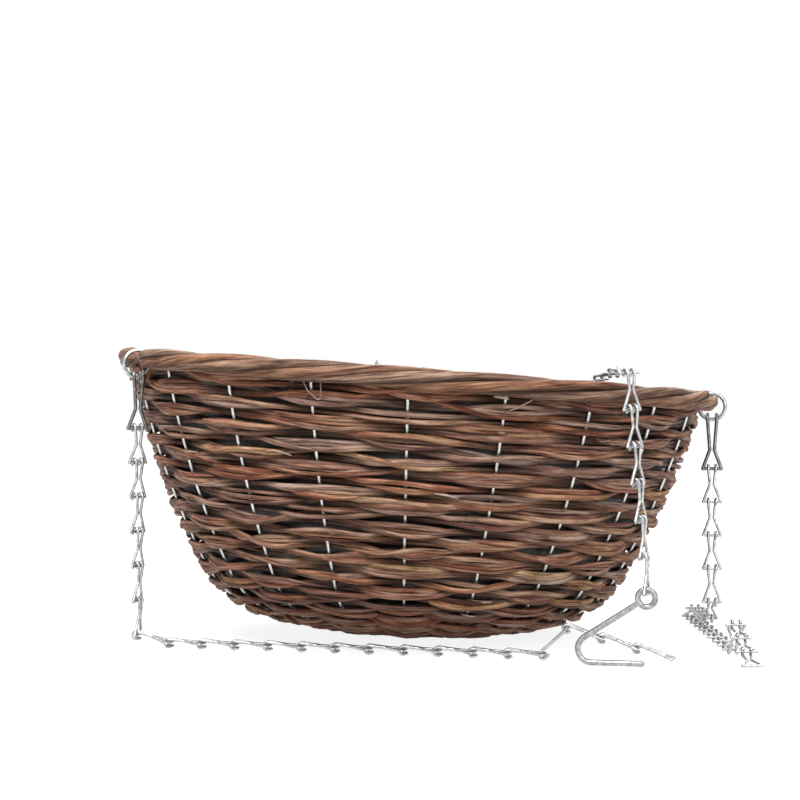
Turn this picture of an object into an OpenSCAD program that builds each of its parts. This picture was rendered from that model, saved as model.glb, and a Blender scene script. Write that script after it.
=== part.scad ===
// Hanging wicker basket: a shallow bowl woven of split twigs on wire ribs, with a plaited border,
// hung from three double loop chains. It stands on the ground with its chains let down.
// The origin is under the middle of the border, on the ground, and +Z is up. Lengths are in mm.

/* [Border] */
// Radius of the circle that the border's middle follows
rim_r = 167.5; // [155:0.5:180]
// Height of the border's middle above the ground
rim_h = 147.3; // [138:0.1:156]
// Slope of the border, which is lower on the right (degrees)
rim_tilt = 4.3; // [3.5:0.1:5]
// Half the thickness of the plaited border
border_r = 6.5; // [5.8:0.1:7]
// Half the thickness of the wire inside the border
rim_wire_r = 1.5; // [1.2:0.1:1.8]

/* [Bowl] */
// Radius of the dished base
dome_r = 400; // [360:5:440]
// Radius of the shoulder between the base and the wall
shoulder_r = 60; // [50:1:66]
// Slope at which the shoulder goes over into the wall (degrees)
shoulder_slope = 61; // [58:0.5:64]
// How far the shoulder's centre lies inside the border's middle
shoulder_in = 95; // [90:1:105]
// How far the wall's outer face lies inside the border's middle, at its height
wall_in = 0.5; // [0:0.1:2]
// Lean of the bowl under the border (degrees)
bowl_lean = 2; // [1:0.1:3]
// How deep the base is worn flat where it stands
foot_cut = 0.8; // [0.6:0.1:1.5]

/* [Weave] */
// Spacing of the rows of twigs up the wall
row_pitch = 6.3; // [5.5:0.1:7]
// Thickness of one layer of weaving
weave_t = 3; // [2.6:0.1:3.1]
// Depth of the valley between two rows
valley = 1.2; // [0.8:0.1:1.5]
// Number of rows in the woven base
base_rows = 12; // [9:1:13]
// Thickness of the film that lines the bowl
liner_t = 0.6; // [0.4:0.1:1]

/* [Ribs] */
// Number of wire ribs
rib_count = 20; // [16:1:24]
// Half the thickness of a rib
rib_r = 1.05; // [0.8:0.05:1.1]
// Direction of the first rib, seen from above (degrees)
first_rib = -92.3; // [-96:0.1:-92]
// Radius of the wire ring under the middle of the base, which the ribs start from
base_ring_r = 24; // [20:0.5:30]

/* [Rings] */
// Radius of the middle of a chain ring's wire
ring_r = 7.4; // [7.2:0.1:7.8]
// Half the thickness of a chain ring's wire
ring_wire_r = 1.1; // [0.9:0.05:1.15]
// Directions of the left, right and rear ring, seen from above (degrees)
ring_at = [203, 352, 99];
// Outward lean of the left and right ring from straight down (degrees)
ring_lean = 32; // [28:0.5:40]

/* [Chain] */
// Length that one link adds to the chain
pitch = 19; // [18.8:0.1:19.5]
// Half the thickness of the links' wire
link_wire_r = 0.8; // [0.7:0.02:0.82]
// Length that a clip adds to its chain
clip_pitch = 28; // [27:0.1:29]
// Half the thickness of the clips' wire
clip_wire_r = 1; // [0.8:0.05:1.05]

/* [Gathering hook] */
// Half the thickness of the hook's wire
hook_wire_r = 1.5; // [1.3:0.1:1.6]
// Radius of the middle of its eye
eye_r = 4.5; // [4.3:0.1:5]
// Length of its straight shank
shank = 34; // [30:1:38]
// Radius of its bend
hook_bend_r = 7; // [6:0.5:8]
// Length of its straight tip
hook_tip = 26; // [20:1:28]

/* [Hidden] */
$fn = 48;

// Clearances
fit = 0.15;
seat = 0.3;
overrun = 1;

// Layers of the bowl, as depths below its outer face
rib_depth = weave_t + fit + rib_r;
inside_depth = rib_depth + rib_r + fit;
liner_depth = inside_depth + weave_t + fit / 2;
seam = fit;

// Number of flats round a rib
rib_sides = 6;

// Where the bowl's layers end, below the plane of the border
wall_drop = 2;

// The bowl's outline: three arcs that run into each other, as [radius, height] of their centres
dome_c = [0, dome_r];
dome_slope = asin((rim_r - shoulder_in) / (dome_r - shoulder_r));
shoulder_c = dome_c + (dome_r - shoulder_r) * along(dome_slope);
wall_foot = shoulder_c + shoulder_r * along(shoulder_slope);
wall_span = [rim_r - wall_in, rim_h] - wall_foot;
wall_r = norm(wall_span) / (2 * sin(atan2(wall_span.y, wall_span.x) - shoulder_slope));
wall_c = shoulder_c + (shoulder_r - wall_r) * along(shoulder_slope);
function along(slope) = [sin(slope), -cos(slope)];

// Ends of the arcs, as a distance from the pole along the outline
dome_s = arc_length(dome_r, dome_slope);
shoulder_s = dome_s + arc_length(shoulder_r, shoulder_slope - dome_slope);
wall_turn = 2 * (atan2(wall_span.y, wall_span.x) - shoulder_slope);
wall_s = shoulder_s + arc_length(wall_r, wall_turn);
function arc_length(r, angle) = r * angle * PI / 180;
function arc_angle(r, length) = length / r * 180 / PI;

// Rows go on past the border's height, where the border cuts them off
rows = ceil(wall_s / row_pitch) + 2;
first_row = 2;

function slope_at(s) = s < dome_s ? arc_angle(dome_r, s)
    : s < shoulder_s ? dome_slope + arc_angle(shoulder_r, s - dome_s)
    : shoulder_slope + arc_angle(wall_r, s - shoulder_s);
function centre_at(s) = s < dome_s ? dome_c : s < shoulder_s ? shoulder_c : wall_c;
function radius_at(s) = s < dome_s ? dome_r : s < shoulder_s ? shoulder_r : wall_r;
// Point at distance s along the outline and at a depth below the outer face
function wall_point(s, depth) = centre_at(s) + (radius_at(s) - depth) * along(slope_at(s));

// One row of twigs bulges by these shares of the valley's depth, at these shares of the row
bulge_shares = [[0, 1], [0.15, 0.3], [0.5, 0], [0.85, 0.3]];
function row_points(from, to, depth, side) = [
    for (row = [from:to - 1], share = bulge_shares)
        wall_point((row + share[0]) * row_pitch, depth + side * valley * share[1])
];
function smooth_points(from, to, depth) = [
    for (row = [from:to]) wall_point(row * row_pitch, depth)
];
function turned_back(points) = [for (i = [len(points) - 1:-1:0]) points[i]];

// Turning matrices about the axes, and the frame of a direction
function turn_x(a) = [[1, 0, 0], [0, cos(a), -sin(a)], [0, sin(a), cos(a)]];
function turn_y(a) = [[cos(a), 0, sin(a)], [0, 1, 0], [-sin(a), 0, cos(a)]];
function turn_z(a) = [[cos(a), -sin(a), 0], [sin(a), cos(a), 0], [0, 0, 1]];
function unit(v) = v / norm(v);
function square_to(v, other) = unit(v - other * (v * other));
function columns(x, y, z) = [[x.x, y.x, z.x], [x.y, y.y, z.y], [x.z, y.z, z.z]];
// A frame whose Z is the heading and whose Y lies nearest to the bar
function frame_of(heading, bar) =
    let (z = unit(heading), y = square_to(bar, z)) columns(cross(y, z), y, z);
function heading_of(frame) = [frame[0][2], frame[1][2], frame[2][2]];

// The border's frame at a direction (X outward, Y along it, Z up from it), and its middle there
function rim_frame(at) = turn_y(rim_tilt) * turn_z(at);
function rim_place(at) = [0, 0, rim_h] + rim_frame(at) * [rim_r, 0, 0];

// A link is one wire: a bar, two sides that draw in to a waist, two arms that part again, and a
// pair of hooks at their feet. Half widths at the bar, the waist and the feet, and the waist's
// height above the feet:
link_bar = 5;
link_waist = 1.1;
link_feet = 2.1;
link_waist_up = 8.7;
link_hook_r = 2.05;
link_hook_turn = 230;
clip_bar = 5.2;
clip_waist = 1.3;
clip_feet = 2.6;
clip_waist_up = 17;
clip_hook_r = 2.9;
clip_hook_turn = 215;
// Angle from a foot to where its hook's arc starts, inside the swelling there
hook_lap = 5;
// The same at both ends of the gathering hook's bend
bend_lap = 2.5;
// A wire swells by this share where it turns
swell_share = 1.06;

// The border is necked where a ring goes round it, and the ring sits off its middle
neck_r = 2 * rim_wire_r;
neck_half = clip_hook_r + clip_wire_r + 0.4 * clip_wire_r;
ring_off = ring_r - ring_wire_r - neck_r - fit;
notch_r = ring_r + ring_off + clip_hook_r + clip_wire_r;

// Offsets of the rings from the border's middle: the left and right one hang, the rear one stands
left_drop = atan(tan(rim_tilt) * cos(ring_at[0])) + ring_lean;
right_drop = atan(tan(rim_tilt) * cos(ring_at[1])) + ring_lean;
left_way = rim_frame(ring_at[0]) * [sin(left_drop), 0, -cos(left_drop)];
right_way = rim_frame(ring_at[1]) * [sin(right_drop), 0, -cos(right_drop)];
rear_up = 75;
rear_way = inward(ring_at[2], rear_up);
// Direction at an angle up from straight inward
function inward(at, up) = rim_frame(at) * [-cos(up), 0, sin(up)];

// Routes of the chains from their clips on. Each stretch is its number of links, the bend about
// the bar before it, its turn to the side, and the twist and the sway of each of its links.
left_route = [[6, 0, 0, -8.9, 0], [1, -78.8, 0, 0, 0], [11, -11.2, 0.6, 0, 1.2],
    [1, -48, 0, 0, 0], [3, 62.5, 0, 0, 0]];
right_route = [[4, 0, 0, -2, 0], [1, -55, 0, 0, 0], [3, -35, 0, 0, 0], [1, 20, 0, 0, 0],
    [9, 160, 0, 0, 0], [1, 50, 0, 0, 0], [3, -65, 0, 0, 0]];
rear_route = [[9, 0, 0, -5.6, 0], [3, -6, 0, -5.6, 0], [3, -11, 0, -5.6, 0], [1, 12, 0, 0, 0],
    [6, 85, 0, -8, 0]];
// Compass direction in which the rear chain crosses the bowl, and where its clip holds the ring
rear_heading = -64;
rear_clip_up = -2;

// Start of each chain: where its clip holds the ring, and the clip's frame
left_start = rim_place(ring_at[0]) + left_way * ring_off - [0, 0, ring_r];
right_start = rim_place(ring_at[1]) + right_way * ring_off - [0, 0, ring_r];
rear_start = rim_place(ring_at[2]) + rear_way * ring_off + inward(ring_at[2], rear_clip_up) * ring_r;
rear_bar = inward(ring_at[2], rear_clip_up + 90);
left_frame = frame_of([0, 0, -1], -rim_frame(ring_at[0]) * [1, 0, 0]);
right_frame = frame_of([0, 0, -1], -rim_frame(ring_at[1]) * [1, 0, 0]);
rear_frame = frame_of(square_to([cos(rear_heading), sin(rear_heading), 0], rear_bar), rear_bar);

// Every link's bend, turn to the side and twist, in order along the route
function steps(route) = [
    for (stretch = route, k = [0:stretch[0] - 1])
        [k == 0 ? stretch[1] : 0, (k == 0 ? stretch[2] : 0) + stretch[4] * cos(90 * k), stretch[3]]
];
// Every link's frame and place, and after the last link those of the chain's end
function places(steps, frame, place, k = 0) =
    k == len(steps) ? [[frame, place]]
    : let (next = frame * turn_y(steps[k][0]) * turn_x(steps[k][1]) * turn_z(steps[k][2]))
        concat([[next, place]], places(steps, next, place + pitch * heading_of(next), k + 1));
function chain(route, frame, start) =
    places(steps(route), frame, start + clip_pitch * heading_of(frame));
left_chain = chain(left_route, left_frame, left_start);
right_chain = chain(right_route, right_frame, right_start);
rear_chain = chain(rear_route, rear_frame, rear_start);
function links_before(route, stretch, k = 0) =
    k == stretch ? 0 : route[k][0] + links_before(route, stretch, k + 1);

// The hook's eye hangs on the last bar of the rear chain, and its shank slopes down so far that
// its bend and its tip lie on the ground. It hangs straight down where the eye is higher than that.
eye_hang = eye_r - hook_wire_r - link_wire_r - fit;
eye_place = rear_chain[len(rear_chain) - 1][1] - [0, 0, eye_hang];
hook_heading = 167;
reach = eye_r + shank;
dip_share = (eye_place.z - hook_wire_r * swell_share - hook_bend_r) / norm([reach, hook_bend_r]);
hook_dip = asin(min(1, dip_share)) - atan2(hook_bend_r, reach);

// Wires are straight rods, arcs and the swellings between them. $wire is half the thickness.
module rod(from, to) {
    way = to - from;
    translate(from) rotate([0, acos(way.z / norm(way)), atan2(way.y, way.x)])
        cylinder(h = norm(way), r = $wire);
}

// A ball where a wire turns or ends. It is turned so that its poles and its seam miss the wire.
module swelling(at, turn = [0, 0, 0]) {
    translate(at) rotate(turn) sphere(r = $wire * swell_share);
}

// An arc about the origin in the plane of X and Z, from one slope to another: slope 0 is straight
// down and slope 90 straight out along +X
module arc(radius, from, to) {
    rotate([90, 90 - from, 0]) rotate_extrude(angle = to - from) translate([radius, 0])
        circle(r = $wire);
}

module tube_ring(radius, wire_r) {
    rotate_extrude() translate([radius, 0]) circle(r = wire_r);
}

// A whole link: its hooks lie round the origin and its bar is one pitch up, along Y
module double_loop(link_pitch, bar, waist, feet, waist_up, hook_r, hook_turn) {
    length = sqrt(pow(link_pitch, 2) - pow(hook_r, 2));
    rotate([0, atan2(hook_r, length), 0]) {
        rod([-hook_r, -bar, length], [-hook_r, bar, length]);
        for (side = [-1, 1]) {
            corner_at = [-hook_r, side * bar, length];
            waist_at = [-hook_r, side * waist, waist_up];
            foot_at = [-hook_r, side * feet, 0];
            rod(corner_at, waist_at);
            rod(waist_at, foot_at);
            swelling(corner_at);
            swelling(waist_at);
            swelling(foot_at);
            translate([0, side * feet, 0]) arc(hook_r, hook_lap - 90, hook_turn - 90);
        }
    }
}

module link() {
    $wire = link_wire_r;
    double_loop(pitch, link_bar, link_waist, link_feet, link_waist_up, link_hook_r, link_hook_turn);
}

module clip(frame, start) {
    $wire = clip_wire_r;
    color("dimgray") put(frame, start) double_loop(clip_pitch, clip_bar, clip_waist, clip_feet,
        clip_waist_up, clip_hook_r, clip_hook_turn);
}

// Sets its children into a frame at a place
module put(frame, place) {
    multmatrix([for (i = [0:2]) [frame[i][0], frame[i][1], frame[i][2], place[i]]]) children();
}

// The links of one stretch of a chain
module stretch(chain, route, number) {
    from = links_before(route, number);
    color("silver") for (k = [from:from + route[number][0] - 1]) put(chain[k][0], chain[k][1]) link();
}

module chain_ring(at, way) {
    color("silver") put(rim_frame(at), rim_place(at) + way * ring_off)
        rotate([90, 0, 0]) tube_ring(ring_r, ring_wire_r);
}

module in_bowl() {
    translate([(dome_r - rim_h) * tan(bowl_lean), 0, dome_r - foot_cut])
        rotate([0, bowl_lean, 0]) translate([0, 0, -dome_r]) children();
}

module in_border() {
    translate([0, 0, rim_h]) rotate([0, rim_tilt, 0]) children();
}

// Cuts a layer of the bowl off under the border and clear of the rings
module under_border() {
    span = rim_r + row_pitch * rows;
    difference() {
        in_bowl() children();
        in_border() translate([-span, -span, -wall_drop]) cube([2 * span, 2 * span, rim_h]);
        in_border() tube_ring(rim_r, border_r + seat);
        for (at = ring_at) put(rim_frame(at), rim_place(at))
            rotate([90, 0, 0]) cylinder(h = 2 * (neck_half + seat), r = notch_r, center = true);
    }
}

// Everything below the ground is worn away
module worn_flat() {
    difference() {
        children();
        translate([-rim_r, -rim_r, -rim_h]) cube([2 * rim_r, 2 * rim_r, rim_h]);
    }
}

module woven_base() {
    color("saddlebrown") worn_flat() in_bowl() rotate_extrude() polygon(concat(
        [wall_point(0, 0)], row_points(first_row, base_rows, 0, 1),
        [wall_point(base_rows * row_pitch - seam, valley),
            wall_point(base_rows * row_pitch - seam, weave_t)],
        turned_back(smooth_points(1, base_rows - 1, weave_t)), [wall_point(0, weave_t)]));
}

module outside_weave() {
    color("saddlebrown") under_border() rotate_extrude() polygon(concat(
        row_points(base_rows, rows, 0, 1), [wall_point(rows * row_pitch, valley)],
        turned_back(smooth_points(base_rows, rows, weave_t))));
}

module inside_weave() {
    face = inside_depth + weave_t;
    color("sienna") under_border() rotate_extrude() polygon(concat(
        [wall_point(0, inside_depth)], smooth_points(1, rows, inside_depth),
        turned_back(concat([wall_point(0, face)], row_points(first_row, rows, face, -1)))));
}

module liner() {
    color("gray") under_border() rotate_extrude() polygon(concat(
        [wall_point(0, liner_depth)], smooth_points(1, rows, liner_depth),
        turned_back(smooth_points(1, rows, liner_depth + liner_t)),
        [wall_point(0, liner_depth + liner_t)]));
}

// A rib follows the bowl's outline between its two layers of weaving, up to the border's underside.
// Its sides are flats that run from ring to ring along the wire.
module rib(at) {
    start = arc_length(dome_r, asin((base_ring_r + 2 * rib_r + fit) / (dome_r - rib_depth)));
    top_z = rim_h - border_r + seat - rim_r * cos(at) * tan(rim_tilt - bowl_lean);
    top_slope = acos((wall_c.y - top_z) / (wall_r - rib_depth));
    end = shoulder_s + arc_length(wall_r, top_slope - shoulder_slope);
    stations = concat([for (k = [0:2]) start + (dome_s - start) * k / 3],
        [for (k = [0:4]) dome_s + (shoulder_s - dome_s) * k / 5],
        [for (k = [0:4]) shoulder_s + (end - shoulder_s) * k / 4]);
    points = [
        for (s = stations, k = [0:rib_sides - 1])
            let (turn = 360 * k / rib_sides, flat = wall_point(s, rib_depth - rib_r * cos(turn)))
                [flat.x, rib_r * sin(turn), flat.y]
    ];
    last = len(stations) - 1;
    sides = [
        for (i = [0:last - 1], k = [0:rib_sides - 1])
            let (a = i * rib_sides + k, b = i * rib_sides + (k + 1) % rib_sides)
                [a, b, b + rib_sides, a + rib_sides]
    ];
    polyhedron(points, concat([[for (k = [rib_sides - 1:-1:0]) k]], sides,
        [[for (k = [0:rib_sides - 1]) last * rib_sides + k]]));
}

module ribs() {
    color("silver") in_bowl() for (k = [0:rib_count - 1]) {
        at = first_rib + 360 * k / rib_count;
        rotate([0, 0, at]) rib(at);
    }
}

module base_ring() {
    slope = asin(base_ring_r / (dome_r - rib_depth));
    color("silver") in_bowl() translate([0, 0, dome_r - (dome_r - rib_depth) * cos(slope)])
        tube_ring(base_ring_r, rib_r);
}

module rim_wire() {
    color("silver") in_border() tube_ring(rim_r, rim_wire_r);
}

module border() {
    color("peru") difference() {
        in_border() tube_ring(rim_r, border_r);
        in_border() tube_ring(rim_r, rim_wire_r + fit);
        for (at = ring_at) put(rim_frame(at), rim_place(at)) rotate([90, 0, 0]) difference() {
            cylinder(h = 2 * neck_half, r = border_r + overrun, center = true);
            cylinder(h = 3 * neck_half, r = neck_r, center = true);
        }
    }
}

module hook() {
    $wire = hook_wire_r;
    // In the hook's own plane, X runs along its shank and Z away from its tip
    shank_end = [reach, 0, 0];
    bend_c = [reach, 0, -hook_bend_r];
    tip_way = [-cos(hook_dip), 0, -sin(hook_dip)];
    tip_start = bend_c + hook_bend_r * [sin(hook_dip), 0, -cos(hook_dip)];
    tip_end = tip_start + hook_tip * tip_way;
    color("silver") translate(eye_place) rotate([0, hook_dip, hook_heading]) {
        rotate([90, 0, 0]) tube_ring(eye_r, hook_wire_r);
        rod([eye_r, 0, 0], shank_end);
        swelling(shank_end, [0, 0, 90]);
        translate(bend_c) arc(hook_bend_r, hook_dip + bend_lap, 180 - bend_lap);
        swelling(tip_start, [0, -hook_dip, 90]);
        rod(tip_start, tip_end);
        swelling(tip_end, [0, -hook_dip, 90]);
    }
}

rim_wire();
base_ring();
ribs();
woven_base();
outside_weave();
inside_weave();
border();
liner();
chain_ring(ring_at[0], left_way);  // left_ring
clip(left_frame, left_start);  // left_clip
stretch(left_chain, left_route, 0);  // left_hang
stretch(left_chain, left_route, 1);  // left_corner
stretch(left_chain, left_route, 2);  // left_floor
stretch(left_chain, left_route, 3);  // left_rise
stretch(left_chain, left_route, 4);  // left_tip
chain_ring(ring_at[1], right_way);  // right_ring
clip(right_frame, right_start);  // right_clip
stretch(right_chain, right_route, 0);  // right_hang
stretch(right_chain, right_route, 1);  // right_corner
stretch(right_chain, right_route, 2);  // right_top
stretch(right_chain, right_route, 3);  // right_slant
stretch(right_chain, right_route, 4);  // right_floor
stretch(right_chain, right_route, 5);  // right_rise
stretch(right_chain, right_route, 6);  // right_tip
chain_ring(ring_at[2], rear_way);  // rear_ring
clip(rear_frame, rear_start);  // rear_clip
stretch(rear_chain, rear_route, 0);  // rear_drop
stretch(rear_chain, rear_route, 1);  // rear_low
stretch(rear_chain, rear_route, 2);  // rear_rise
stretch(rear_chain, rear_route, 3);  // rear_rim
stretch(rear_chain, rear_route, 4);  // rear_hang
hook();
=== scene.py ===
# %% [markdown]
# # A hanging wicker basket
# The real basket is a shallow bowl woven of brown willow twigs on twenty wire ribs. A border of
# four vines is twisted round the rim wire, a dark film lines the bowl, its colour deepened as
# painted shade, and three double loop chains hang from rings in the border. The CAD model fixes
# where all of this is. Here every piece gets the surface that the eye expects.
# We load the CAD model first. Nothing we add may reach out of it.

# %% Load the imported basket
import math

import bpy
import numpy as np
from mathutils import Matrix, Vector


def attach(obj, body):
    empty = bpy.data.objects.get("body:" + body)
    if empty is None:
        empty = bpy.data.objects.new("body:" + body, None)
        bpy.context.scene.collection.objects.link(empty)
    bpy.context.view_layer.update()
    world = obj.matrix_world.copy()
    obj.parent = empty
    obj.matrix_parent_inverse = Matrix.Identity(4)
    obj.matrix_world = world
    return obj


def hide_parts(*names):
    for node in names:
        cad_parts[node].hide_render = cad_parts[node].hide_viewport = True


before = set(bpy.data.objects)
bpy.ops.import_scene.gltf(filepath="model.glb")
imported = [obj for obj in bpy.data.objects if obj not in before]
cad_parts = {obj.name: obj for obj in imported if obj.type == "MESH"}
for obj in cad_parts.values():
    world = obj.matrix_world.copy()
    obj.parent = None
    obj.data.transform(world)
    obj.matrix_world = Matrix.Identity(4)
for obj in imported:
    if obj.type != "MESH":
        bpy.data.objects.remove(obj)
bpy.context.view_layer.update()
MM = 0.001
FULL_TURN = 2 * math.pi

# %% [markdown]
# ## The camera
# The photograph was taken from a little above the rim, straight from the front and from far
# enough away that the basket shows almost without perspective. A long lens does that here. The
# frame is square, so one number gives what a pixel covers: 0.58 mm in the plane of the basket's
# middle.

# %% Set up the camera
PHOTO_SIDE = 800
PIXEL = 0.58 * MM
EYE = Vector((-10.7, -1300, 147)) * MM
LOOKED_AT = Vector((-10.7, 0, 135.7)) * MM
SENSOR_WIDTH = 36

lens = bpy.data.cameras.new("photo_lens")
lens.sensor_width = SENSOR_WIDTH
lens.lens = SENSOR_WIDTH * -EYE.y / (PIXEL * PHOTO_SIDE)
camera = bpy.data.objects.new("photo_camera", lens)
camera.location = EYE
camera.rotation_euler = (LOOKED_AT - EYE).to_track_quat("-Z", "Y").to_euler()
bpy.context.scene.collection.objects.link(camera)
bpy.context.scene.camera = camera
print("Lens:", round(lens.lens, 1), "mm")


# %% [markdown]
# ## Colours and nodes
# Colours are read off as sRGB hex values, and Blender's sockets want linear ones, so one function
# turns them. Materials are built from nodes, and one more function adds a node with its settings
# and its links.

# %% Turn hex colours and add nodes
def linear(hex_colour):
    """An sRGB hex colour as the linear RGBA that a socket takes."""
    shares = [int(hex_colour[i:i + 2], 16) / 255 for i in (1, 3, 5)]
    return (*[c / 12.92 if c <= 0.04045 else ((c + 0.055) / 1.055) ** 2.4 for c in shares], 1)


def new_material(name):
    """A material with no nodes yet."""
    material = bpy.data.materials.new(name)
    material.use_nodes = True
    material.node_tree.nodes.clear()
    return material


def add_node(material, kind, values=None, links=None, **settings):
    """Adds a node. Values and links go by socket name or number, settings by property name."""
    node = material.node_tree.nodes.new(kind)
    for name, value in settings.items():
        setattr(node, name, value)
    for socket, value in (values or {}).items():
        node.inputs[socket].default_value = value
    for socket, source in (links or {}).items():
        material.node_tree.links.new(source, node.inputs[socket])
    return node


def colour_steps(material, source, steps):
    """A ramp from a number to colours: steps are (place, hex colour)."""
    node = add_node(material, "ShaderNodeValToRGB", links={"Fac": source})
    ramp = node.color_ramp
    while len(ramp.elements) < len(steps):
        ramp.elements.new(0.5)
    for element, (place, colour) in zip(ramp.elements, steps):
        element.position, element.color = place, linear(colour)
    return node.outputs["Color"]


# %% [markdown]
# ## The studio
# The photograph has a plain white ground with next to no shadow, and a soft light from above and
# from the front. The floor and the world show white to the camera and in reflections only, so
# they add little light to the basket, and its underside stays dark as in the photograph.

# %% Build the floor and the world
FLOOR_HALF = 8.0
FLOOR_GLOW = 0.87
FLOOR_COLOUR = "#9c9c9c"
SKY_LIGHT = 0.42
SKY_SEEN = 1.0

floor_mesh = bpy.data.meshes.new("studio_floor")
floor_mesh.from_pydata(
    [(x * FLOOR_HALF, y * FLOOR_HALF, 0) for x, y in ((-1, -1), (1, -1), (1, 1), (-1, 1))],
    [], [(0, 1, 2, 3)])
studio_floor = bpy.data.objects.new("studio_floor", floor_mesh)
bpy.context.scene.collection.objects.link(studio_floor)


def seen_or_mirrored(tree_owner):
    """1 for rays from the camera and for those by way of metal or film, or else 0."""
    rays = add_node(tree_owner, "ShaderNodeLightPath").outputs
    first = add_node(tree_owner, "ShaderNodeMath", operation="MAXIMUM",
                     links={0: rays["Is Camera Ray"], 1: rays["Is Glossy Ray"]})
    return add_node(tree_owner, "ShaderNodeMath", operation="MAXIMUM",
                    links={0: first.outputs[0], 1: rays["Is Transmission Ray"]}).outputs[0]


paper = new_material("white_studio_paper")
glow_share = add_node(paper, "ShaderNodeMath", operation="MULTIPLY",
                      links={0: seen_or_mirrored(paper)}, values={1: FLOOR_GLOW})
glow = add_node(paper, "ShaderNodeEmission", links={"Strength": glow_share.outputs[0]})
matt = add_node(paper, "ShaderNodeBsdfDiffuse", values={"Color": linear(FLOOR_COLOUR)})
paper_mix = add_node(paper, "ShaderNodeAddShader",
                     links={0: glow.outputs[0], 1: matt.outputs[0]})
add_node(paper, "ShaderNodeOutputMaterial", links={"Surface": paper_mix.outputs[0]})
floor_mesh.materials.append(paper)

world = bpy.data.worlds.new("studio_air")
world.use_nodes = True
world.node_tree.nodes.clear()
sky_seen = add_node(world, "ShaderNodeMix", data_type="FLOAT",
                    links={"Factor": seen_or_mirrored(world)},
                    values={"A": SKY_LIGHT, "B": SKY_SEEN})
sky = add_node(world, "ShaderNodeBackground", links={"Strength": sky_seen.outputs["Result"]},
               values={"Color": linear("#ffffff")})
add_node(world, "ShaderNodeOutputWorld", links={"Surface": sky.outputs[0]})
bpy.context.scene.world = world
bpy.context.scene.view_settings.view_transform = "Standard"

# %% Hang the lamps
LIT_POINT = (0, 0, 0.08)


def hang_lamp(name, place, side, power):
    """A square soft box that faces the basket."""
    light = bpy.data.lights.new(name, "AREA")
    light.size, light.energy = side, power
    lamp = bpy.data.objects.new(name, light)
    lamp.location = place
    lamp.rotation_euler = (Vector(LIT_POINT) - Vector(place)).to_track_quat("-Z", "Y").to_euler()
    bpy.context.scene.collection.objects.link(lamp)


hang_lamp("soft_box_above", (-0.5, -0.9, 1.7), 1.1, 38)
hang_lamp("soft_box_front", (0.9, -1.7, 0.9), 1.0, 15)
hang_lamp("soft_box_behind", (0.4, 1.5, 1.3), 1.2, 18)

# %% [markdown]
# ## The bowl's outline
# Everything woven follows one curve: a dished base, a tight shoulder and a steep wall, each an arc
# that runs into the next. These are the numbers that the CAD model was made from. A place on the
# bowl is given by its direction, its distance from the middle of the base along the curve, and its
# depth below the outer face.

# %% Repeat the outline from the CAD model
RIM_R, RIM_H, RIM_TILT, BORDER_R = 167.5, 147.3, 4.3, 6.5
DOME_R, SHOULDER_R, SHOULDER_IN, SHOULDER_SLOPE, WALL_IN = 400, 60, 95, 61, 0.5
LEAN, FOOT_CUT = 2, 0.8
RIB_COUNT, RIB_R, FIRST_RIB, BASE_RING_R = 20, 1.05, -92.3, 24
RIB_DEPTH, LINER_DEPTH = 4.2, 8.475
RING_AT = np.radians([203, 352, 99])


def along(slope):
    """From an arc's centre towards its point with this slope, 1 mm long."""
    return np.stack([np.sin(slope), -np.cos(slope)], -1)


dome_c = np.array([0.0, DOME_R])
dome_slope = math.asin((RIM_R - SHOULDER_IN) / (DOME_R - SHOULDER_R))
shoulder_slope = math.radians(SHOULDER_SLOPE)
shoulder_c = dome_c + (DOME_R - SHOULDER_R) * along(dome_slope)
wall_foot = shoulder_c + SHOULDER_R * along(shoulder_slope)
wall_span = np.array([RIM_R - WALL_IN, RIM_H]) - wall_foot
wall_lean = math.atan2(wall_span[1], wall_span[0]) - shoulder_slope
wall_r = np.linalg.norm(wall_span) / (2 * math.sin(wall_lean))
wall_c = shoulder_c + (SHOULDER_R - wall_r) * along(shoulder_slope)
dome_s = DOME_R * dome_slope
shoulder_s = dome_s + SHOULDER_R * (shoulder_slope - dome_slope)


def on_outline(s, depth):
    """Radius and height of a place on the outline, in mm."""
    s = np.asarray(s, float)[..., None]
    depth = np.asarray(depth, float)[..., None]
    on_dome, on_shoulder = s < dome_s, s < shoulder_s
    slope = np.where(on_dome, s / DOME_R, np.where(
        on_shoulder, dome_slope + (s - dome_s) / SHOULDER_R,
        shoulder_slope + (s - shoulder_s) / wall_r))
    centre = np.where(on_dome, dome_c, np.where(on_shoulder, shoulder_c, wall_c))
    radius = np.where(on_dome, DOME_R, np.where(on_shoulder, SHOULDER_R, wall_r))
    return centre + (radius - depth) * along(slope[..., 0])


def turned_about_y(points, degrees):
    """The points turned about the Y axis."""
    c, s = math.cos(math.radians(degrees)), math.sin(math.radians(degrees))
    return points @ np.array([[c, 0, -s], [0, 1, 0], [s, 0, c]])


def on_bowl(angle, s, depth):
    """A place on the bowl in mm. The angle is in radians."""
    angle, s, depth = np.broadcast_arrays(angle, s, depth)
    flat = on_outline(s, depth)
    points = np.stack([flat[..., 0] * np.cos(angle), flat[..., 0] * np.sin(angle),
                       flat[..., 1] - DOME_R], -1)
    return turned_about_y(points, LEAN) + [
        (DOME_R - RIM_H) * math.tan(math.radians(LEAN)), 0, DOME_R - FOOT_CUT]


def unit(v):
    """The vectors at a length of 1."""
    return v / np.linalg.norm(v, axis=-1, keepdims=True)


def out_of_bowl(angle, s, depth, place):
    """The bowl's outward direction at a place on it, 1 mm long."""
    return unit(on_bowl(angle, s, depth - 1) - place)


def in_border(points):
    """From the border's own frame, whose origin is the middle of its circle, to the CAD's."""
    return turned_about_y(points, RIM_TILT) + [0, 0, RIM_H]


def above_border(points):
    """Height over the plane of the border."""
    return turned_about_y(points - [0, 0, RIM_H], -RIM_TILT)[..., 2]


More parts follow.
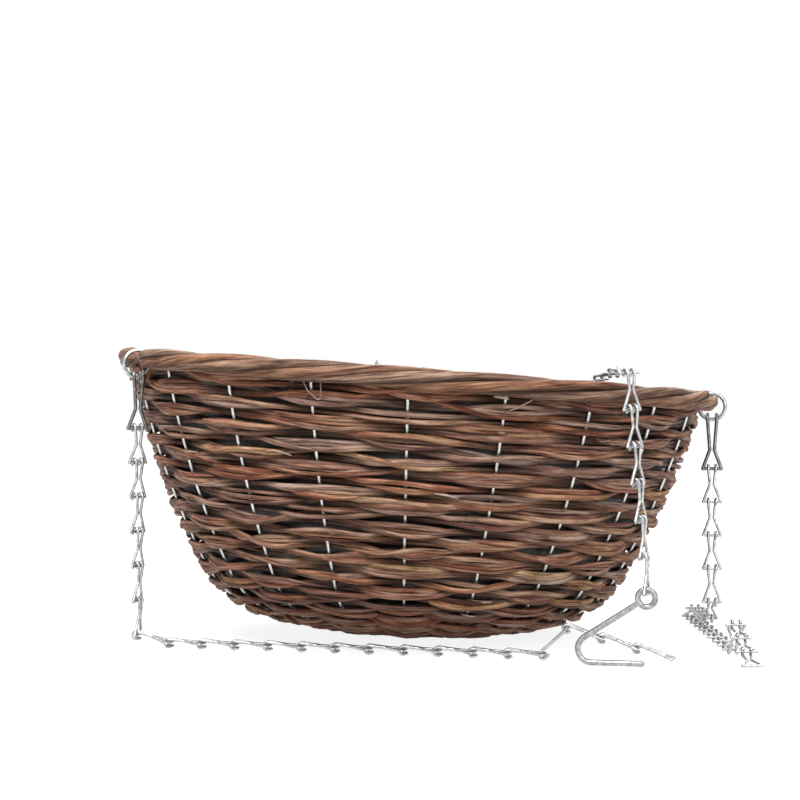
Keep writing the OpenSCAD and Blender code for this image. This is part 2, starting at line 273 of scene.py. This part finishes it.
# %% [markdown]
# The weaving ends in the border, 3.2 mm below the border's middle. A chain ring turns round the
# border at three places, and there the wall and the lining end a little lower, so that the ring
# finds room when its chain is lifted.

# %% Find the top of the wall
UNDER_BORDER = 3.2
HIGHEST_S, OUTLINE_STEPS = 290, 60
RING_ROOM, ROOM_HALF, ROOM_END = 6.5, 2.8, 8.0


def top_of_wall(angle):
    """How far up the outline the weaving goes at a direction before it meets the border."""
    reach = np.linspace(shoulder_s, HIGHEST_S, OUTLINE_STEPS)
    heights = above_border(on_bowl(np.atleast_1d(angle)[:, None], reach[None], RIB_DEPTH))
    return np.array([np.interp(-UNDER_BORDER, h, reach) for h in heights])


def eased(share):
    """A share from 0 to 1 with a soft start and a soft end."""
    return share * share * (3 - 2 * share)


def from_ring(angle):
    """Distance in mm along the border from the nearest chain ring."""
    turns = [np.abs((angle - at + math.pi) % FULL_TURN - math.pi) for at in RING_AT]
    return np.min(turns, axis=0) * RIM_R


def ring_room(angle):
    """How much lower the wall and the lining end where a ring turns round the border."""
    share = np.clip((ROOM_END - from_ring(angle)) / (ROOM_END - ROOM_HALF), 0, 1)
    return RING_ROOM * eased(share)


print("Wall ends at", top_of_wall(np.radians([-90, 0, 90, 180])).round(1), "mm along the outline")

# %% [markdown]
# ## Rods
# Twigs, vines and ribs are all rods: a path, a thickness at each point, and an oval section. A
# Blender curve with a bevel would make them too, but a mesh lets each twig carry its own bark
# tone, and a flat cut end that shows pale wood. So one function lays rods, and it writes two
# things for the bark's material: a UV map that runs along and round the rod in millimetres, and a
# colour attribute with the rod's tone, its age, where its ends are cut, and how much painted shade
# it gets in hollows and on its inward flank.

# %% Lay rods as one mesh
FLANK_FROM, FLANK_SPAN = 0.62, 0.9
END_UV = (0.0, 0.5)


def rod(path, thickness, outward, tone=(0.5, 0.5), squash=1.0, hollow=0.0, crease=0.0):
    """A rod in mm: half its thickness, the direction that its flatter side faces, its tone and
    age, how deep it lies in a hollow and how much painted shade falls on its inward flank, all
    four from 0 to 1. The last two darken its bark as painted shade."""
    path = np.asarray(path, float)
    return {"path": path, "half": np.broadcast_to(thickness, len(path)).astype(float),
            "out": np.broadcast_to(outward, path.shape), "tone": tone, "squash": squash,
            "hollow": np.broadcast_to(hollow, len(path)).astype(float), "crease": crease}


def rod_faces(n, sides, start):
    """The quads round a rod of n stations, and the triangles that close both its ends."""
    i, k = np.meshgrid(np.arange(n - 1), np.arange(sides), indexing="ij")
    i, k = i.ravel(), k.ravel()
    after = (k + 1) % sides
    quads = np.stack([i * sides + k, i * sides + after, (i + 1) * sides + after,
                      (i + 1) * sides + k], 1) + start
    side = np.arange(sides)
    next_side, last, foot = (side + 1) % sides, (n - 1) * sides, n * sides
    ends = np.r_[np.stack([next_side, side, np.full(sides, foot)], 1),
                 np.stack([side + last, next_side + last, np.full(sides, foot + 1)], 1)] + start
    return i, k, quads, ends


def rod_mesh(rods, sides):
    """Points, faces, UVs and colours of a list of rods."""
    points, faces, uvs, colours = [], [], [], []
    around = np.arange(sides) * FULL_TURN / sides
    flank = np.clip((FLANK_FROM - np.sin(around)) / FLANK_SPAN, 0, 1)
    start = 0
    for r in rods:
        path, n = r["path"], len(r["path"])
        way = unit(np.gradient(path, axis=0))
        side = unit(np.cross(way, r["out"]))
        up = np.cross(side, way)
        oval = (np.cos(around)[None, :, None] * side[:, None]
                + np.sin(around)[None, :, None] * up[:, None] * r["squash"])
        section = path[:, None] + oval * r["half"][:, None, None]
        points += [section.reshape(-1, 3), path[[0, -1]]]
        i, k, quads, ends = rod_faces(n, sides, start)
        faces += [quads, ends]
        length = np.r_[0, np.cumsum(np.linalg.norm(np.diff(path, axis=0), axis=1))]
        girth = FULL_TURN * r["half"].mean()
        u = np.stack([length[i], length[i], length[i + 1], length[i + 1]], 1)
        v = np.stack([k, k + 1, k + 1, k], 1) * girth / sides
        uvs += [np.stack([u, v], -1).reshape(-1, 2), np.tile(END_UV, (3 * len(ends), 1))]
        tone = np.tile([*r["tone"], 0.0, 1.0], (n * sides + 2, 1))
        # Painted shade: deep places and the flank turned away from the outside get darker bark.
        rod_shade = np.maximum(r["hollow"][:, None], r["crease"] * flank[None])
        tone[:-2, 3] = 1 - rod_shade.ravel()
        tone[-2:, 2:] = np.stack([[1, 1], 1 - r["hollow"][[0, -1]]], 1)
        colours.append(tone)
        start += n * sides + 2
    return np.vstack(points) * MM, faces, np.vstack(uvs), np.vstack(colours)


def lay_rods(name, rods, sides, material, lowest=None):
    """One object made of rods. None of its points lies lower than the lowest one."""
    points, faces, uvs, colours = rod_mesh(rods, sides)
    if lowest is not None:
        points[:, 2] = np.maximum(points[:, 2], lowest)
    mesh = bpy.data.meshes.new(name)
    mesh.from_pydata(points, [], [f for group in faces for f in group.tolist()])
    mesh.uv_layers.new(name="bark_mm").data.foreach_set("uv", uvs.astype(np.float32).ravel())
    tones = mesh.color_attributes.new(name="bark_tone_and_shade", type="FLOAT_COLOR", domain="POINT")
    tones.data.foreach_set("color", colours.astype(np.float32).ravel())
    mesh.shade_smooth()
    mesh.materials.append(material)
    piece = bpy.data.objects.new(name, mesh)
    bpy.context.scene.collection.objects.link(piece)
    print(f"{name}: {len(rods)} rods, {len(mesh.polygons)} faces")
    return piece


# %% [markdown]
# ## Willow bark
# The twigs are brown willow, dried with the bark on. The bark is matt to silky, wrinkled along the
# twig where it shrank, and it goes from grey tan to red brown from one twig to the next. Wrinkles
# run along the twig, so the noise is stretched along the UV map's first direction: 1 unit is 1 mm.
# Darker patches and rubbed ridges break it up, and a cut end shows the paler wood. Where a twig
# dips between its neighbours, and on its flank turned away from the outside, its bark is painted
# near black as shade.

# %% Make the bark
PAINTED_SHADE_COLOUR, CUT_COLOUR = "#1a0d08", "#b08e6c"
GROOVE_STEPS = [(0.32, "#4c372c"), (0.46, "#bfb2a9"), (0.6, "#ffffff")]
TONE_OFFSET = 900


def bark(name, tans, greys, rub):
    """Dried bark. tans and greys are ramps of (place, hex), rub is the colour of worn ridges."""
    material = new_material(name)
    tone = add_node(material, "ShaderNodeAttribute", attribute_name="bark_tone_and_shade")
    split = add_node(material, "ShaderNodeSeparateColor", links={0: tone.outputs["Color"]})
    place = add_node(material, "ShaderNodeUVMap", uv_map="bark_mm")
    own = add_node(material, "ShaderNodeCombineXYZ", links={"Z": split.outputs[0]})
    moved = add_node(material, "ShaderNodeVectorMath", operation="MULTIPLY_ADD",
                     links={0: own.outputs[0], 2: place.outputs[0]},
                     values={1: (0, 0, TONE_OFFSET)})

    def grain(along_share, around_share, detail, roughness):
        """Noise in mm, stretched along the twig."""
        stretched = add_node(material, "ShaderNodeVectorMath", operation="MULTIPLY",
                             links={0: moved.outputs[0]},
                             values={1: (along_share, around_share, 1)})
        return add_node(material, "ShaderNodeTexNoise", links={"Vector": stretched.outputs[0]},
                        values={"Scale": 1.0, "Detail": detail, "Roughness": roughness}
                        ).outputs["Fac"]

    wrinkle = grain(0.06, 0.8, 4, 0.62)
    patch = grain(0.035, 0.12, 2, 0.5)
    pore = grain(0.5, 1.6, 2, 0.5)
    spread = add_node(material, "ShaderNodeMath", operation="MULTIPLY_ADD",
                      links={0: patch, 2: split.outputs[0]}, values={1: 0.9})
    base = add_node(material, "ShaderNodeMath", operation="SUBTRACT",
                    links={0: spread.outputs[0]}, values={1: 0.45})
    tan = colour_steps(material, base.outputs[0], tans)
    grey = colour_steps(material, base.outputs[0], greys)
    aged = add_node(material, "ShaderNodeMix", data_type="RGBA",
                    links={"Factor": split.outputs[1], "A": tan, "B": grey})
    groove = colour_steps(material, wrinkle, GROOVE_STEPS)
    grooved = add_node(material, "ShaderNodeMix", data_type="RGBA", blend_type="MULTIPLY",
                       links={"A": aged.outputs["Result"], "B": groove},
                       values={"Factor": 0.95})
    ridge = add_node(material, "ShaderNodeMapRange", links={"Value": wrinkle},
                     values={"From Min": 0.55, "From Max": 0.78, "To Max": 0.5})
    worn = add_node(material, "ShaderNodeMix", data_type="RGBA",
                    links={"Factor": ridge.outputs[0], "A": grooved.outputs["Result"]},
                    values={"B": linear(rub)})
    # Painted shade: where the attribute's fourth channel is low, in hollows and on inward flanks,
    # the bark goes near black.
    painted_shade_share = add_node(material, "ShaderNodeMapRange", links={"Value": tone.outputs["Alpha"]},
                    values={"From Min": 0.0, "From Max": 1.0, "To Min": 0.86, "To Max": 0.0})
    painted_shaded = add_node(material, "ShaderNodeMix", data_type="RGBA",
                     links={"Factor": painted_shade_share.outputs[0], "A": worn.outputs["Result"]},
                     values={"B": linear(PAINTED_SHADE_COLOUR)})
    cut = add_node(material, "ShaderNodeMix", data_type="RGBA",
                   links={"Factor": split.outputs[2], "A": painted_shaded.outputs["Result"]},
                   values={"B": linear(CUT_COLOUR)})
    height = add_node(material, "ShaderNodeMath", operation="MULTIPLY_ADD",
                      links={0: pore, 2: wrinkle}, values={1: 0.3})
    bump = add_node(material, "ShaderNodeBump", links={"Height": height.outputs[0]},
                    values={"Strength": 0.8, "Distance": 0.5 * MM})
    rough = add_node(material, "ShaderNodeMapRange", links={"Value": wrinkle},
                     values={"From Min": 0.35, "From Max": 0.7, "To Min": 0.78, "To Max": 0.5})
    surface = add_node(material, "ShaderNodeBsdfPrincipled",
                       links={"Base Color": cut.outputs["Result"], "Normal": bump.outputs[0],
                              "Roughness": rough.outputs[0]},
                       values={"IOR": 1.5, "Specular IOR Level": 0.35})
    add_node(material, "ShaderNodeOutputMaterial", links={"Surface": surface.outputs[0]})
    return material


willow_bark = bark(
    "dried_willow_bark",
    [(0.0, "#542a1b"), (0.25, "#8e5238"), (0.5, "#b77c5e"), (0.75, "#cc9c74"), (1.0, "#dfbd94")],
    [(0.0, "#5a443e"), (0.3, "#92776c"), (0.6, "#bca193"), (1.0, "#dccbbd")], "#e3c4aa")

# %% [markdown]
# ## The woven bowl
# A weaver takes two to four twigs at a time and lays them round the bowl, in front of one rib and
# behind the next, and the next row does the opposite. So at each rib every other row bulges out,
# and between two of them the wire shows as a short bright dash in a dark hollow. That rhythm is
# what makes it read as wicker, so the rows really are woven here: each twig swings from the layer
# outside the ribs to the layer inside. Only the first rows lie flat on the base, and up to the
# eighth a twig passes two ribs at a time, because the ribs are too close there. A twig is only as
# long as a hand's width or three, thinner at its tip than at its butt, and both its ends are
# tucked in. Now and then the twigs of a row cross over each other.

# %% Name the weave's sizes
ROWS = 39
PLAIN_ROWS, DOUBLE_ROWS, BASE_ROWS = 4, 8, 12
PLAIN_DEPTH, PLAIN_STEP = 1.6, 1.4
TWO_STRAND_ROWS = 2
STRAND_COUNTS = [2, 3, 3, 3, 4]
# For each number of strands: how far they spread, and half the thickness of the thinnest and
# the thickest twig
STRANDS = {2: (1.8, 1.65, 2.05), 3: (2.45, 1.4, 1.75), 4: (3.1, 1.1, 1.45)}
TWIG_LENGTH = (230, 520)
TWIG_SIDES = 7
TWIG_TONE, TWIG_AGE = (0.5, 0.17), (0.32, 0.3)
STATION, FEWEST_ROUND, FEWEST_STATIONS, SHORTEST_TWIG = 4.2, 24, 8, 10
OVERLAP, CLOSING_TURN = 0.12, 0.3
BUTT, TIP = 1.1, 0.72
FLATTER = 0.84
KNOT_STEP, KNOT_SHARE = 24, 0.1
SWING_POWER = 0.8
SWAPS, SWAP_SHARPNESS, SWAP_GAP = (2, 6), 2.6, 0.6
SPREAD_AT_CROSSING, SPREAD_AT_RIB = 0.7, 0.42
WANDER = 0.55
RIB_GAP, SKIN, UNDER_TOP = 0.1, 0.05, 1.0
TUCK, TUCK_STATIONS, TUCK_THINNER = 1.5, 3, 0.35
# Depths over which twigs take painted shade, and how much painted shade falls on their inward
# flank.
HOLLOW_FROM, DEEPEST = 0.6, 7.6
TWIG_FLANK_SHADE = 0.45
LOWEST = 0.05 * MM
rib_step = FULL_TURN / RIB_COUNT
first_rib = math.radians(FIRST_RIB)
chance = np.random.default_rng(7)


# %% Weave the twigs
def slow_noise(angle, waves, size):
    """A smooth random line round the bowl."""
    total = np.zeros_like(angle)
    for wave in waves:
        total += chance.normal() * np.cos(wave * angle + chance.uniform(0, FULL_TURN))
    return total * size / math.sqrt(len(waves))


def row_place(row, angle):
    """Distance of a row along the outline. Rows spread evenly up to the slanting border."""
    return (row - 0.5) / ROWS * top_of_wall(angle)


def row_swing(row, angle):
    """1 where a row passes in front of a rib, and -1 where it passes behind one."""
    step = rib_step if row > DOUBLE_ROWS else 2 * rib_step
    swing = np.cos(math.pi * (angle - first_rib) / step + math.pi * (row + 1))
    return np.sign(swing) * np.abs(swing) ** SWING_POWER


def tucked(n, reach):
    """1 at both ends of n stations and 0 from reach stations in."""
    place = np.arange(n)
    return np.clip(1 - np.minimum(place, n - 1 - place) / reach, 0, 1)


def weave_row(row):
    """The twigs of one row, and the bare wood, pale also as painted glints, that shows in it."""
    middle = float(row_place(row, np.array([0.0]))[0])
    radius = float(on_outline(middle, RIB_DEPTH)[0])
    strands = 2 if row <= TWO_STRAND_ROWS else int(chance.choice(STRAND_COUNTS))
    spread, thinnest, thickest = STRANDS[strands]
    swaps, swap_at = int(chance.integers(*SWAPS)), chance.uniform(0, FULL_TURN)
    stations = 3 * max(FEWEST_ROUND, int(FULL_TURN * radius / STATION))
    once_round = np.linspace(0, FULL_TURN, stations)
    row_wave = slow_noise(once_round, (1, 2, 3, 5, 7, 11), WANDER)
    twigs = []
    for strand in range(strands):
        layer = (strand - (strands - 1) / 2) * 2 / max(1, strands - 1)
        begin = chance.uniform(0, FULL_TURN)
        done = 0.0
        while done < FULL_TURN:
            length = chance.uniform(*TWIG_LENGTH)
            turn = min(length / radius, FULL_TURN - done + CLOSING_TURN)
            n = max(FEWEST_STATIONS, int(turn * radius / STATION))
            angle = begin + done + np.linspace(0, turn, n)
            done += turn - OVERLAP

            thick = chance.uniform(thinnest, thickest)
            knots = 1 + KNOT_SHARE * slow_noise(angle * radius / KNOT_STEP, (1, 2.3, 4.1), 1.0)
            half = thick * np.linspace(BUTT, TIP, n) * np.clip(knots, 0.8, 1.25)
            thin = half * FLATTER

            swing = row_swing(row, angle)
            order = np.tanh(SWAP_SHARPNESS * np.cos(swaps * angle + swap_at))
            fan = spread * (layer * order) * (
                SPREAD_AT_CROSSING + SPREAD_AT_RIB * np.abs(swing))
            own_wave = slow_noise(angle, (2, 5, 9, 16), WANDER)
            s = row_place(row, angle) + fan + own_wave + np.interp(
                np.mod(angle, FULL_TURN), once_round, row_wave)
            s = np.minimum(s, top_of_wall(angle) - UNDER_TOP - ring_room(angle))
            if n < SHORTEST_TWIG:
                continue

            if row <= PLAIN_ROWS:
                depth = np.full(n, PLAIN_DEPTH + PLAIN_STEP * (strand % 2))
            else:
                gap = ((1 - np.abs(swing)) + SWAP_GAP * (1 - np.abs(order))) * layer
                depth = RIB_DEPTH - swing * (RIB_R + RIB_GAP + thin) + gap
                depth = np.maximum(depth, thin + SKIN) + TUCK * tucked(n, TUCK_STATIONS)
            path = on_bowl(angle, s, depth)
            age = float(np.clip(chance.normal(*TWIG_AGE), 0, 1))
            tone = float(np.clip(chance.normal(*TWIG_TONE), 0.05, 0.98))
            # Twigs that lie deeper than the ribs get painted shade.
            hollow = np.clip((depth - RIB_DEPTH + HOLLOW_FROM) / (DEEPEST - RIB_DEPTH), 0, 1)
            twigs.append(rod(path, half * (1 - TUCK_THINNER * tucked(n, TUCK_STATIONS)),
                             out_of_bowl(angle, s, depth, path), (tone, age),
                             squash=FLATTER, hollow=hollow, crease=TWIG_FLANK_SHADE))
    return twigs + glint_slivers(row, radius)


# %% [markdown]
# Pale glints show between the rows in the photograph, mostly beside the ribs. Short pale spindles
# of bare wood and bark shreds lie there, and their pale colour also serves as painted glints. A
# few torn strips of bark stick out near the border, and those are laid one by one.

# %% Add bare wood and shreds
SLIVER_SHARE = 0.45
SLIVER_STATIONS = 9
SLIVER_LENGTH = (6, 19)
SLIVER_DEPTH, SLIVER_RISE = 0.4, 1.9
FLAT = 0.5
SHRED_HALF = 0.42


def glint_slivers(row, radius):
    """Bare wood and bark shreds: short pale lengths beside the ribs where a row passes behind,
    pale also as painted glints.
    """
    pale = []
    if row <= DOUBLE_ROWS:
        return pale
    for k in range(RIB_COUNT):
        if (k + row) % 2 == 0 or chance.uniform() > SLIVER_SHARE:
            continue
        length = chance.uniform(*SLIVER_LENGTH)
        middle = first_rib + k * rib_step + chance.uniform(-0.25, 0.55) * length / radius
        share = np.linspace(-0.5, 0.5, SLIVER_STATIONS)
        angle = middle + share * length / radius
        spindle = np.sin(np.linspace(0.15, math.pi - 0.15, SLIVER_STATIONS)) ** 0.7
        side = chance.choice([-1, 1]) * chance.uniform(0.9, 2.4)
        s = row_place(row, angle) + side + share * chance.uniform(-1.5, 1.5)
        depth = RIB_DEPTH - SLIVER_DEPTH - SLIVER_RISE * spindle
        path = on_bowl(angle, s, depth)
        tone = (float(chance.uniform(0.92, 1.1)), float(chance.uniform(0.75, 1.0)))
        # Their pale tone is bare wood, and it also paints glints.
        pale.append(rod(path, chance.uniform(0.7, 1.25) * spindle,
                        out_of_bowl(angle, s, depth, path), tone, squash=FLAT))
    return pale


def shred(degrees, down, strokes, half=SHRED_HALF):
    """A torn strip of bark by the border: strokes are places in mm, to the right and up."""
    angle0 = math.radians(degrees)
    place = np.array(strokes, float)
    share = np.linspace(0, 1, len(place))
    fine = np.linspace(0, 1, 8 * len(place))
    right, up = (np.interp(fine, share, place[:, i]) for i in (0, 1))
    angle = angle0 + right / (RIM_R - 6)
    s = float(top_of_wall(angle0)[0]) - down + up
    bulge = np.sin(fine * math.pi)
    depth = 1.0 - 0.5 * bulge
    path = on_bowl(angle, s, depth)
    return rod(path, half * (0.6 + 0.4 * bulge), out_of_bowl(angle, s, depth, path),
               (1.0, 0.85), squash=FLAT)


SHREDS = [
    shred(-110.5, 6, [(-10, 4), (-3, 6.4), (0, 0), (5, -4.6), (7, -3.5), (7, 7)]),
    shred(-69.8, 5, [(-13, -4), (-7, -1.5), (-1, 2), (5, 6)]),
    shred(-75.5, 2, [(-4, 0.4), (0, 0.2), (4, -0.6)], 0.8),
    shred(-131, 1, [(-3, 3), (-1, 0), (1, -4)], 0.35),
    shred(-52, 22, [(-6, 2), (-2, 0), (3, 1), (7, -2)], 0.35),
    shred(-118, 41, [(-8, 0), (-3, 1.2), (3, 0.4), (8, -1.5)], 0.5),
    shred(-84, 57, [(-7, 0.5), (0, 0), (7, -1.8)], 0.6),
]

# %% Lay the rows as the base and three bands of wall
base_rows = [t for row in range(1, BASE_ROWS + 1) for t in weave_row(row)]
wall_bands = {"lower": (BASE_ROWS + 1, 22), "middle": (22, 31), "upper": (31, ROWS + 1)}
woven_base = lay_rods("woven_base_twigs", base_rows, TWIG_SIDES, willow_bark, lowest=LOWEST)
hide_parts("woven_base")
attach(woven_base, "basket")
for band, (first, last) in wall_bands.items():
    twigs = [t for row in range(first, last) for t in weave_row(row)]
    if band == "upper":
        twigs += SHREDS
    wall = lay_rods(f"woven_wall_{band}", twigs, TWIG_SIDES, willow_bark, lowest=LOWEST)
    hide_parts("outside_weave", "inside_weave")
    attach(wall, "basket")

# %% [markdown]
# ## The border
# Four vines, thicker and smoother than the twigs, are twisted round the rim wire. They make about
# five turns round the whole border, so from the front they cross it as long slanting ropes. Where
# a chain's ring goes round the border, the vines are drawn in to a neck. Each vine goes round in
# two lengths, whose ends just overlap.

# %% Twist the border
VINES, VINE_TURNS, VINE_SIDES = 4, 5, 12
VINE_STATION = 3.0
VINE_SHARE, VINE_LARGEST = 0.425, 0.47
VINE_INWARD, VINE_WANDER, VINE_KNOTS = 0.14, 0.26, 0.06
# How much painted shade falls on the flank of a vine turned into the bundle.
VINE_FLANK_SHADE = 0.9
FIRST_JOINT, JOINT_STEP, FIRST_LENGTH, VINE_OVERLAP = 190, 118, 205, 0.02
NECK_R, NECK_HALF, NECK_END = 2.95, 5.0, 15.0
BORDER_SKIN = 0.1

vine_bark = bark(
    "dried_vine_bark",
    [(0.0, "#4e2e1f"), (0.3, "#80523c"), (0.6, "#a97b5c"), (1.0, "#cfa47f")],
    [(0.0, "#503d34"), (0.4, "#8a7265"), (1.0, "#bea899")], "#d3ae8f")


def border_half(angle):
    """Half the border's thickness, drawn in at the rings."""
    share = np.clip((from_ring(angle) - NECK_HALF) / (NECK_END - NECK_HALF), 0, 1)
    return NECK_R + (BORDER_R - BORDER_SKIN - NECK_R) * eased(share)


def vine(number, start, turn, thick):
    """One length of vine round the rim wire."""
    n = int(turn * RIM_R / VINE_STATION)
    angle = start + np.linspace(0, turn, n)
    phase = angle * VINE_TURNS + number * FULL_TURN / VINES
    phase = phase + slow_noise(angle, (1, 2, 4, 7), VINE_WANDER)
    whole = border_half(angle)
    knots = 1 + VINE_KNOTS * slow_noise(angle * 6, (1, 2.7), 1.0)
    half = whole * VINE_SHARE * thick * knots
    half = np.minimum(half, whole * VINE_LARGEST)
    off = (whole - half) * (1 - VINE_INWARD * (1 - np.sin(phase)))
    across = np.stack([np.cos(angle), np.sin(angle), 0 * angle], -1)
    up = np.array([0.0, 0.0, 1.0])
    local = (across * (RIM_R + off * np.cos(phase))[:, None]
             + up * (off * np.sin(phase))[:, None])
    path = in_border(local)
    outward = in_border(local + across * np.cos(phase)[:, None]
                        + up * np.sin(phase)[:, None]) - path
    tone = (float(chance.uniform(0.4, 0.7)), float(np.clip(chance.normal(0.3, 0.2), 0, 1)))
    return rod(path, half, unit(outward), tone, crease=VINE_FLANK_SHADE)


vines = []
first_length = math.radians(FIRST_LENGTH)
for number in range(VINES):
    joint = math.radians(FIRST_JOINT + JOINT_STEP * number)
    for start, turn in ((joint, first_length),
                        (joint + first_length - VINE_OVERLAP,
                         FULL_TURN - first_length + 2 * VINE_OVERLAP)):
        vines.append(vine(number, start, turn, chance.uniform(0.86, 1.1)))
border = lay_rods("border_vines", vines, VINE_SIDES, vine_bark)
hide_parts("border")
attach(border, "basket")

# %% [markdown]
# ## The ribs
# The ribs are galvanised wire and show between the rows as bright dashes. The CAD model has them
# as hexagonal rods, and round wires that just fit inside those take their place.

# %% Galvanised wire
RIB_SHOWN_R = 0.9
RIB_SIDES, RIB_STATIONS, RIB_END = 10, 70, 2.0


def galvanised(name, colour, dull, rough):
    """Zinc on steel wire: metal, with a fine mottling where the zinc went dull."""
    material = new_material(name)
    place = add_node(material, "ShaderNodeTexCoord").outputs["Object"]
    mottle = add_node(material, "ShaderNodeTexNoise", links={"Vector": place},
                      values={"Scale": 420.0, "Detail": 3.0, "Roughness": 0.6}).outputs["Fac"]
    tint = colour_steps(material, mottle, [(0.3, dull), (0.62, colour)])
    rubbed = add_node(material, "ShaderNodeMapRange", links={"Value": mottle},
                      values={"From Min": 0.3, "From Max": 0.7, "To Min": rough + 0.14,
                              "To Max": rough})
    fine = add_node(material, "ShaderNodeBump", links={"Height": mottle},
                    values={"Strength": 0.25, "Distance": 0.15 * MM})
    surface = add_node(material, "ShaderNodeBsdfPrincipled",
                       links={"Base Color": tint, "Roughness": rubbed.outputs[0],
                              "Normal": fine.outputs[0]}, values={"Metallic": 1.0})
    add_node(material, "ShaderNodeOutputMaterial", links={"Surface": surface.outputs[0]})
    return material


rib_zinc = galvanised("galvanised_rib_wire", "#dcdcd8", "#aeaeac", 0.3)
chain_zinc = galvanised("bright_zinc_chain_wire", "#cacbc8", "#8e9094", 0.32)
clip_zinc = galvanised("dark_zinc_clip_wire", "#8b8b8a", "#5f5f5e", 0.3)
hook_zinc = galvanised("zinc_hook_wire", "#b4b6b4", "#7e8080", 0.28)

ribs = []
for k in range(RIB_COUNT):
    angle = first_rib + k * rib_step
    s = np.linspace(BASE_RING_R + RIB_END, float(top_of_wall(angle)[0]) + RIB_END, RIB_STATIONS)
    path = on_bowl(np.full(len(s), angle), s, RIB_DEPTH)
    ribs.append(rod(path, RIB_SHOWN_R,
                    out_of_bowl(np.full(len(s), angle), s, RIB_DEPTH, path)))
rib_wires = lay_rods("rib_wires", ribs, RIB_SIDES, rib_zinc)
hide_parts("ribs")
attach(rib_wires, "basket")

# %% [markdown]
# ## The lining
# A thin dark film lines the bowl and keeps the soil in, and its near black colour is also painted
# shade, so that the gaps between the twigs read as shadow. It is one sheet pressed into the bowl,
# so it falls in shallow wrinkles. Here it is a grid on the bowl's outline, with the wrinkles drawn
# as slow waves that run down the wall and gather over the base. An inner and an outer face, joined
# at both edges, make it a closed sheet.

# %% Line the bowl with film
FILM_ROUND, FILM_UP = 360, 90
FILM_LOW, FILM_T = 0.7, 0.25
FILM_HOLE, FILM_ABOVE = 0.5, 1.0
FOLD_WAVES, FOLD_SIZE, PUCKER_SIZE = (9, 14, 23, 37), 0.22, 0.12


def film_grid():
    """Direction, distance along the outline and wrinkles, at each point of the film."""
    angle = np.linspace(0, FULL_TURN, FILM_ROUND, endpoint=False)
    top = top_of_wall(angle) - ring_room(angle)
    share = np.linspace(0, 1, FILM_UP) ** 0.8
    a, k = np.meshgrid(angle, share, indexing="ij")
    s = k * (top + FILM_ABOVE)[:, None] + FILM_HOLE
    folds = np.zeros_like(a)
    for waves in FOLD_WAVES:
        bend = chance.uniform(0, FULL_TURN)
        slant = chance.uniform(-2.5, 2.5)
        folds += np.cos(waves * a + slant * k * 3 + bend) * chance.uniform(0.5, 1)
    folds = folds * FOLD_SIZE * np.clip(k * 2, 0.1, 1)
    puckers = np.cos(s / 4.1 + 3 * np.cos(3 * a)) * np.cos(a * 30 + s / 9) * PUCKER_SIZE
    return a, s, folds + puckers


film_angle, film_s, film_wave = film_grid()
film_points = np.stack([
    on_bowl(film_angle, film_s, LINER_DEPTH + FILM_LOW + film_wave),
    on_bowl(film_angle, film_s, LINER_DEPTH + FILM_LOW + FILM_T + film_wave)])
film_faces = []
count = FILM_ROUND * FILM_UP
for i in range(FILM_ROUND):
    ahead = (i + 1) % FILM_ROUND
    for k in range(FILM_UP - 1):
        a, b = i * FILM_UP + k, ahead * FILM_UP + k
        film_faces.append((a, b, b + 1, a + 1))
        film_faces.append((a + 1 + count, b + 1 + count, b + count, a + count))
    for k, layer in ((FILM_UP - 1, 1), (0, -1)):
        a, b = i * FILM_UP + k, ahead * FILM_UP + k
        film_faces.append((a, b, b + count, a + count)[::layer])
film_mesh = bpy.data.meshes.new("film_lining")
film_mesh.from_pydata(film_points.reshape(-1, 3) * MM, [], film_faces)
film_mesh.shade_smooth()

film = new_material("polythene_film_dark_and_painted_shade")
film_place = add_node(film, "ShaderNodeTexCoord").outputs["Object"]
cloud = add_node(film, "ShaderNodeTexNoise", links={"Vector": film_place},
                 values={"Scale": 35.0, "Detail": 4.0, "Roughness": 0.55}).outputs["Fac"]
# The film's near black tint is its own dark colour and painted shade for the gaps between the
# twigs.
film_tint_and_shade = colour_steps(film, cloud, [(0.35, "#1d1a18"), (0.5, "#2b2724"), (0.65, "#4b4540")])
crease = add_node(film, "ShaderNodeTexNoise", links={"Vector": film_place},
                  values={"Scale": 160.0, "Detail": 3.0, "Roughness": 0.5}).outputs["Fac"]
film_bump = add_node(film, "ShaderNodeBump", links={"Height": crease},
                     values={"Strength": 0.4, "Distance": 0.6 * MM})
film_surface = add_node(film, "ShaderNodeBsdfPrincipled",
                        links={"Base Color": film_tint_and_shade, "Normal": film_bump.outputs[0]},
                        values={"Roughness": 0.38, "IOR": 1.51})
add_node(film, "ShaderNodeOutputMaterial", links={"Surface": film_surface.outputs[0]})
film_mesh.materials.append(film)
lining = bpy.data.objects.new("film_lining", film_mesh)
bpy.context.scene.collection.objects.link(lining)
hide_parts("liner")
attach(lining, "basket")
print("film_lining:", len(film_mesh.polygons), "faces")

# %% [markdown]
# ## Wire, rings, chains and hook
# The CAD model's own wire pieces keep their shapes. They only need their metal: bright zinc on the
# chains and rings, darker on the clips that join a chain to its ring.

# %% Give the CAD wire its metal
for name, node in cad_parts.items():
    if node.hide_render:
        continue
    metal = clip_zinc if name.endswith("_clip") else hook_zinc if name == "hook" else (
        rib_zinc if name in ("rim_wire", "base_ring") else chain_zinc)
    node.data.materials.clear()
    node.data.materials.append(metal)
    print(name, "->", metal.name)
